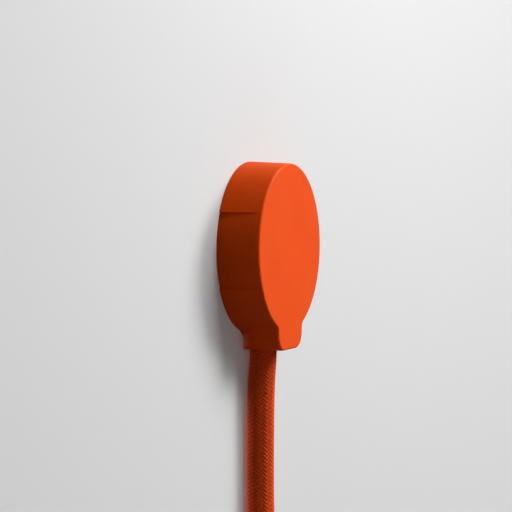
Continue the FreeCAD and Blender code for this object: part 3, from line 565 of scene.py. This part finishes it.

# %% [markdown]
# ## Colours as a screen shows them
# A colour picked on a screen is written as a code of six digits, but a
# shader counts light in even steps. The usual curve turns the one into the other.

# %% Screen colours
def shade(hex_code):
    """A colour as a screen shows it, turned into the linear numbers of a shader."""
    parts = [int(hex_code[i:i + 2], 16) / 255 for i in (0, 2, 4)]
    linear = [((p + 0.055) / 1.055) ** 2.4 if p > 0.04045 else p / 12.92 for p in parts]
    return (*linear, 1.0)


def grey(level):
    """An even grey, by its share of the light."""
    return (level, level, level, 1)


print("the cover's orange in a shader:", [round(part, 3) for part in shade("F25209")[:3]])

# %% [markdown]
# ## Moulded plastic
# The cover is one coloured nylon moulding with a satin skin. A mould is spark
# eroded, which leaves a very fine even grain, and a handled plug has slightly
# polished patches. So the bump is a fine noise of a few hundredths of a
# millimetre, and the gloss changes slowly over the surface. A plain colour with
# one roughness would look like a sketch.

# %% Plastic finish
TONE_LUMPS = 90
GLOSS_LUMPS = 60
GRAIN_LUMPS = 2600
GRAIN_HEIGHT = 0.02 * MM


def moulded_plastic(name, colour, darker):
    """Satin plastic: a fine grain, slow patches of gloss and a faint change of tone."""
    paint = Paint(name)
    tone = paint.noise(TONE_LUMPS, 3)
    fine = paint.noise(GRAIN_LUMPS, 2)
    slow = paint.noise(GLOSS_LUMPS, 4)
    return paint.finish(
        Base_Color=paint.mix(tone.clip(0.3, 0.7), colour, darker),
        Roughness=0.50 + 0.10 * slow.clip(0.3, 0.7),
        Normal=paint.bump(fine, GRAIN_HEIGHT),
        Specular_IOR_Level=0.07,
    )


cover_plastic = moulded_plastic("cover_plastic", shade("F25209"), shade("EE4E08"))
carrier_plastic = moulded_plastic("carrier_plastic", shade("EC4C08"), shade("E64806"))
clamp_nylon = moulded_plastic("clamp_nylon", shade("DDD9CE"), shade("D2CDC0"))
print("plastics:", cover_plastic.name, carrier_plastic.name, clamp_nylon.name)

# %% [markdown]
# ## The threads of the braid
# The cord is covered by a tubular braid: one set of threads spirals to the left
# and another to the right, and each passes over two and under two of the other.
# The two sets are two slanted stripe patterns on the UV map. The whole number of
# each stripe says which thread it is, and the sum of the two numbers says which
# one is on top.

# %% Braid threads
BRAID_THREADS = 20
BRAID_RISE = 1.04
OVER_AND_UNDER = 4


def braid_threads(paint):
    """Height of the upper thread, its own number and its fibres, at a point of the cord."""
    share_around, girths_along, _ = paint.split(paint.node("ShaderNodeUVMap", {"uv_map": "along"}))
    around = share_around * BRAID_THREADS
    along = girths_along * (BRAID_THREADS * BRAID_RISE)
    left = around + along
    right = around - along
    left_number = left.floor()
    right_number = right.floor()
    left_round = ((left - left_number) * math.pi).sine()
    right_round = ((right - right_number) * math.pi).sine()
    left_on_top = ((left_number + right_number) % OVER_AND_UNDER).less(OVER_AND_UNDER / 2)
    height = left_on_top * left_round + (1 - left_on_top) * right_round
    left_name = left_number % BRAID_THREADS
    right_name = right_number % BRAID_THREADS + BRAID_THREADS
    number = left_on_top * left_name + (1 - left_on_top) * right_name
    fibre = left_on_top * right + (1 - left_on_top) * left
    return height, number, fibre


print("a thread is", round(math.pi * CORD_DIAMETER / BRAID_THREADS / MM, 2), "mm wide")

# %% [markdown]
# ## The braid's finish
# The top thread's round back gives the height, so the braid has its small shadows.
# The gaps between the threads are painted darker, as shade where each thread dips
# under its neighbours. Each thread differs a little from its neighbour, and fine
# strands and fluff break up the shine, as on spun yarn.

# %% Braid finish
FUZZ_LUMPS = 5000
THREAD_HEIGHT = 0.22 * MM
STRANDS_PER_THREAD = 2
NAME_STEP = 7.31


def textile_braid(name, colour, darker, painted_gap_shade):
    """Matt yarn in round threads, with painted shade in the gaps and a tone for each thread."""
    paint = Paint(name)
    height, number, fibre = braid_threads(paint)
    strand = (fibre * (2 * STRANDS_PER_THREAD) * math.pi).sine() * 0.5 + 0.5
    fuzz = paint.noise(FUZZ_LUMPS, 2)
    thread_tone = paint.noise(3, 1, number * NAME_STEP)
    body = paint.mix(thread_tone.clip(0.35, 0.65), colour, darker)
    return paint.finish(
        # Painted shade: the gap colour goes where a thread's round back dips between its
        # neighbours.
        Base_Color=paint.mix(height.clip(0.4, 0.05), body, painted_gap_shade),
        Roughness=0.78 + 0.10 * fuzz,
        Normal=paint.bump(height * 0.8 + strand * 0.08 + fuzz * 0.12, THREAD_HEIGHT),
        Specular_IOR_Level=0.10,
    )


# The last colour is painted shade for the gaps between the threads.
orange_braid = textile_braid("orange_braid", shade("F4541C"), shade("EA4E16"), shade("C8400E"))
cord.data.materials.append(orange_braid)
print("braid:", orange_braid.name, "on", cord.name)

# %% [markdown]
# ## Metals
# Pins are turned from brass and nickel plated: a pale warm silver with faint
# rings round the pin. The strip contacts are rolled, so their grain runs along
# the strip. Steel screws are zinc plated and cooler. The insert is bare brass. One
# noise that is stretched along an axis gives all of these lines.

# %% Metal finishes
X_AXIS, Y_AXIS, Z_AXIS = range(3)
LINE_SPREAD = 6.0
LINE_DEPTH = 0.002 * MM
SMUDGE_LUMPS = 220


def plated_metal(name, colour, roughness, lines_per_metre, axis):
    """Metal with fine lines that follow each other along an axis, and faint smudges."""
    paint = Paint(name)
    squeeze = [LINE_SPREAD] * 3
    squeeze[axis] = lines_per_metre
    stretched = paint.node(
        "ShaderNodeMapping", {}, {"Vector": paint.place(), "Scale": squeeze}
    )
    lines = paint.noise(1.0, 4, stretched)
    smudge = paint.noise(SMUDGE_LUMPS, 3)
    return paint.finish(
        Base_Color=colour,
        Metallic=1.0,
        Roughness=roughness + 0.10 * smudge.clip(0.35, 0.7) + 0.05 * lines,
        Normal=paint.bump(lines, LINE_DEPTH),
    )


nickel = plated_metal("nickel_turned", (0.72, 0.69, 0.63, 1), 0.20, 9000, Y_AXIS)
contact_strip = plated_metal("nickel_strip", (0.70, 0.66, 0.58, 1), 0.26, 7000, X_AXIS)
zinc_steel = plated_metal("zinc_steel", (0.62, 0.64, 0.67, 1), 0.28, 6000, Y_AXIS)
bare_brass = plated_metal("bare_brass", (0.80, 0.58, 0.24, 1), 0.27, 6000, Y_AXIS)
tinned_copper = plated_metal("tinned_copper", (0.60, 0.59, 0.57, 1), 0.30, 7000, Z_AXIS)
metals = (nickel, contact_strip, zinc_steel, bare_brass, tinned_copper)
print("metals:", *(metal.name for metal in metals))

# %% [markdown]
# ## Insulation and sleeve
# The three cores have a soft plastic skin in the colours of a mains cable: brown,
# blue, and green with yellow stripes along the core. The sleeve over the cut
# sheath is shrunk rubber. All of them are smooth, so a faint cloud of tone and a
# very small bump are enough.

# %% Soft finishes
SKIN_ROUGHNESS = 0.42
SKIN_LUMPS = 400
SKIN_GRAIN_LUMPS = 3000
SKIN_GRAIN_HEIGHT = 0.01 * MM
STRIPE_HALF_WIDTH = 0.45 * MM


def soft_plastic(name, colour, darker, roughness=SKIN_ROUGHNESS):
    """Smooth flexible plastic or rubber with a faint cloud of tone."""
    paint = Paint(name)
    tone = paint.noise(SKIN_LUMPS, 3)
    fine = paint.noise(SKIN_GRAIN_LUMPS, 2)
    return paint.finish(
        Base_Color=paint.mix(tone.clip(0.3, 0.7), colour, darker),
        Roughness=roughness + 0.1 * tone,
        Normal=paint.bump(fine, SKIN_GRAIN_HEIGHT),
    )


def striped_insulation(name, base, stripe, node):
    """Two stripes along the middle of a core that stands upright."""
    paint = Paint(name)
    low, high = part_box(node)
    from_left, _, _ = paint.split(paint.place())
    across = from_left - (low[0] + high[0]) / 2
    stripe_here = (across * across).less(STRIPE_HALF_WIDTH ** 2)
    tone = paint.noise(SKIN_LUMPS, 3)
    fine = paint.noise(SKIN_GRAIN_LUMPS, 2)
    return paint.finish(
        Base_Color=paint.mix(stripe_here, base, stripe),
        Roughness=SKIN_ROUGHNESS + 0.1 * tone,
        Normal=paint.bump(fine, SKIN_GRAIN_HEIGHT),
    )


GREEN = shade("3F8F2E")
YELLOW = shade("E3C92A")
brown_skin = soft_plastic("brown_insulation", shade("6B3A1E"), shade("5E3219"))
blue_skin = soft_plastic("blue_insulation", shade("1E5FA8"), shade("1A5596"))
far_earth_skin = striped_insulation("earth_insulation", GREEN, YELLOW, "far_earth_core")
earth_skin = striped_insulation("earth_insulation_inner", GREEN, YELLOW, "earth_core")
shrink_rubber = soft_plastic("shrink_sleeve", shade("1C1C1D"), shade("262627"), 0.5)
skins = (brown_skin, blue_skin, far_earth_skin, earth_skin, shrink_rubber)
print("insulation and sleeve:", *(skin.name for skin in skins))

# %% [markdown]
# ## The woven strap
# The strap is a rib weave. Fine ribs run across it, two narrow borders have only
# lengthwise threads, and it is covered in soft fluff. Its UV map is the flat strap
# in metres, so ribs and threads are sine waves of their real spacing. The raised
# parts of the weave are painted lighter and its hollows darker, as light and shade,
# and the fluff adds a lighter tone at random.

# %% Strap finish
RIB_SPACING = 0.6 * MM
THREAD_SPACING = 0.5 * MM
BORDER_WIDTH = 1.3 * MM
FLUFF_LUMPS = 3500
WEAVE_HEIGHT = 0.12 * MM


def woven_strap(name, colour, lit_weave_and_fluff):
    """A rib weave: fine ribs across the strap, flat ones along its two edges, and fluff, with
    painted light and shade on the weave.
    """
    paint = Paint(name)
    gone, across, _ = paint.split(paint.node("ShaderNodeUVMap", {"uv_map": "along"}))
    ribs = (gone * (2 * math.pi / RIB_SPACING)).sine() * 0.5 + 0.5
    threads = (across * (2 * math.pi / THREAD_SPACING)).sine() * 0.5 + 0.5
    edge = 1 - (across * across).less((STRAP_WIDTH / 2 - BORDER_WIDTH) ** 2)
    fluff = paint.noise(FLUFF_LUMPS, 4)
    weave = edge * threads + (1 - edge) * (ribs * 0.7 + threads * 0.3)
    height = weave * 0.5 + fluff * 0.5
    return paint.finish(
        # Painted light and shade: the weave's raised parts get the lighter colour and its hollows
        # the darker one; the fluff's share is a random tone.
        Base_Color=paint.mix(height.clip(0.3, 0.8), colour, lit_weave_and_fluff),
        Roughness=0.80 + 0.12 * fluff,
        Normal=paint.bump(height, WEAVE_HEIGHT),
        Specular_IOR_Level=0.2,
        Sheen_Weight=0.15,
    )


# The second colour is painted light on the raised weave, with a random lighter tone from the
# fluff.
black_strap = woven_strap("black_strap", shade("161617"), shade("2E2E30"))
strap.data.materials.append(black_strap)
print("strap cloth:", black_strap.name, "on", strap.name)

# %% [markdown]
# ## Finishes on the solids
# Each CAD node keeps its own mesh, because its shape is already right. Only its
# material slots change. The pieces inside the housing get their finish too, so
# that they look right once the housing is taken apart.

# %% Dress the solids
FINISHES = {
    "front_cover": cover_plastic,
    "contact_carrier": carrier_plastic,
    "line_pin": nickel,
    "neutral_pin": nickel,
    "earth_strap": contact_strip,
    "earth_receptacle": contact_strip,
    "pin_terminal_screws": zinc_steel,
    "earth_clamp_washer": zinc_steel,
    "earth_terminal_screw": zinc_steel,
    "housing_screw": zinc_steel,
    "threaded_insert": bare_brass,
    "cord_clamp": clamp_nylon,
    "clamp_screws": zinc_steel,
    "line_core": brown_skin,
    "neutral_core": blue_skin,
    "earth_core": earth_skin,
    "inner_ferrules": tinned_copper,
    "sheath_end_sleeve": shrink_rubber,
    "far_line_core": brown_skin,
    "far_neutral_core": blue_skin,
    "far_earth_core": far_earth_skin,
    "far_ferrules": tinned_copper,
}

for node, material in FINISHES.items():
    slots = nodes[node].material_slots
    if not slots:
        nodes[node].data.materials.append(material)
    for slot in slots:
        slot.material = material
print("dressed nodes:", len(FINISHES))

# %% [markdown]
# ## Stage paint
# The wall and the floor are plain matt paint. They look pale, but only to the
# camera and in reflections: a pale wall so near would throw so much light back
# that the plug's shaded side went flat. A faint glow of their own, for the same
# rays, keeps their shadows from going dark. Just above the cover most of the paint
# gives way to glow, or the light from the orange top would tint it.

# %% Stage paint
# How pale each sheet's paint is, and how much it glows by itself
WALL_SHOWN = (0.70, 0.04)
FLOOR_SHOWN = (0.16, 0.48)
LIT_BACK = 0.14
COVER_TOP = (0, WALL_Y, 23.5 * MM)
TINT_REACH = 34 * MM
TINT_CORE = 4 * MM
TINT_TAKEN = 0.7


def stage_paint(name, shown_level, glow_level):
    """Matt paint, pale to the eye and in reflections, that throws little light back."""
    paint = Paint(name)
    shown = paint.ray("Camera").either(paint.ray("Glossy")).either(paint.ray("Transmission"))
    from_top = paint.node(
        "ShaderNodeVectorMath",
        {"operation": "DISTANCE"},
        {0: paint.place(), 1: COVER_TOP},
        output="Value",
    )
    taken = TINT_TAKEN * from_top.clip(TINT_REACH, TINT_CORE)
    pale = paint.mix(taken, grey(shown_level), grey(0))
    glow = paint.mix(taken, grey(glow_level), grey(glow_level + shown_level))
    paint.finish(
        Base_Color=paint.mix(shown, grey(LIT_BACK), pale),
        Emission_Color=paint.mix(shown, grey(0), glow),
        Emission_Strength=1.0,
        Roughness=0.9,
        Specular_IOR_Level=0.1,
    )
    return paint


stage_paints = {
    wall: stage_paint("stage_wall_paint", *WALL_SHOWN),
    floor: stage_paint("stage_floor_paint", *FLOOR_SHOWN),
}
print("stage paints:", len(stage_paints))

# %% [markdown]
# ## A wall that is seen from one side
# The pins and contacts are behind the wall. So its back is transparent, and they
# can be looked at from behind. The lamps shine through it as well, except close
# to the plug, where their light would spoil the shadow at the wall.

# %% See through the back
SHADE_REACH = 42 * MM
SHADE_END = 52 * MM
SHADE_LEAK = 0.25


def see_through_back(paint):
    """Keep the paint on a sheet's front only, and let the lamps shine through it."""
    back = paint.node("ShaderNodeNewGeometry", output="Backfacing")
    away = paint.node(
        "ShaderNodeVectorMath", {"operation": "LENGTH"}, {0: paint.place()}, output="Value"
    )
    leak = SHADE_LEAK + (1 - SHADE_LEAK) * away.clip(SHADE_REACH, SHADE_END)
    passed = paint.ray("Shadow") * leak
    clear = paint.node("ShaderNodeBsdfTransparent")
    painted = Value(paint, paint.shader.outputs[0])
    both = paint.node(
        "ShaderNodeMixShader", {}, {0: back.either(passed), 1: painted, 2: clear}
    )
    paint.feed(paint.tree.nodes["Material Output"].inputs[0], both)


for sheet, paint in stage_paints.items():
    see_through_back(paint)
    sheet.data.materials.append(paint.material)
    print(sheet.name, "is painted on its front")

# %% [markdown]
# ## Lamps
# The main light is one soft window at the front right. A small near one overhead
# makes the front a little brighter towards its top, because light fades with
# distance. Weak ones at the front left and behind reach the shaded side and the
# pins. Square area lamps give the soft edges that a window's shadow has.

# %% Lamps
# Each lamp's place, the point that it faces, its size in metres and its watts
LAMPS = {
    "window": ((1.30, -1.17, 0.94), (0, 0, 0), 0.8, 34.5),
    "overhead": ((0.06, -0.32, 0.38), (0, 0, 0.01), 0.3, 1.5),
    "fill": ((-1.5, -1.3, 0.2), (0, 0, 0), 1.0, 2.1),
    "behind": ((0.35, 1.45, 0.25), (0, 0, -0.05), 0.8, 15),
}


def add_lamp(name, place, target, size, watts):
    """A square soft lamp at a place, turned to a target."""
    data = bpy.data.lights.new(name, "AREA")
    data.shape = "SQUARE"
    data.size = size
    data.energy = watts
    lamp = bpy.data.objects.new(name, data)
    lamp.location = place
    way = Vector(target) - Vector(place)
    lamp.rotation_euler = way.to_track_quat("-Z", "Y").to_euler()
    bpy.context.scene.collection.objects.link(lamp)


for lamp_name, facts in LAMPS.items():
    add_lamp(lamp_name, *facts)
print("lamps:", *LAMPS)

# %% [markdown]
# ## The world
# A plain grey world is pale to the eye, greyer in reflections, so that the metals
# keep their contrast, and faint as light, at a level where a colour comes out
# about as it was written.

# %% World
WORLD_SHOWN = 0.75
WORLD_MIRRORED = 0.35
WORLD_LIT = 0.10


def add_world():
    """A grey world whose strength depends on the kind of ray that meets it."""
    world = bpy.data.worlds.new("world")
    world.use_nodes = True
    sky = Graph(world.node_tree)
    unseen = sky.choose(sky.ray("Glossy"), WORLD_LIT, WORLD_MIRRORED)
    strength = sky.choose(sky.ray("Camera"), unseen, WORLD_SHOWN)
    background = sky.tree.nodes["Background"]
    sky.feed(background.inputs["Color"], grey(1))
    sky.feed(background.inputs["Strength"], strength)
    bpy.context.scene.world = world


add_world()
bpy.context.scene.view_settings.view_transform = "Standard"
print("world light:", WORLD_LIT)
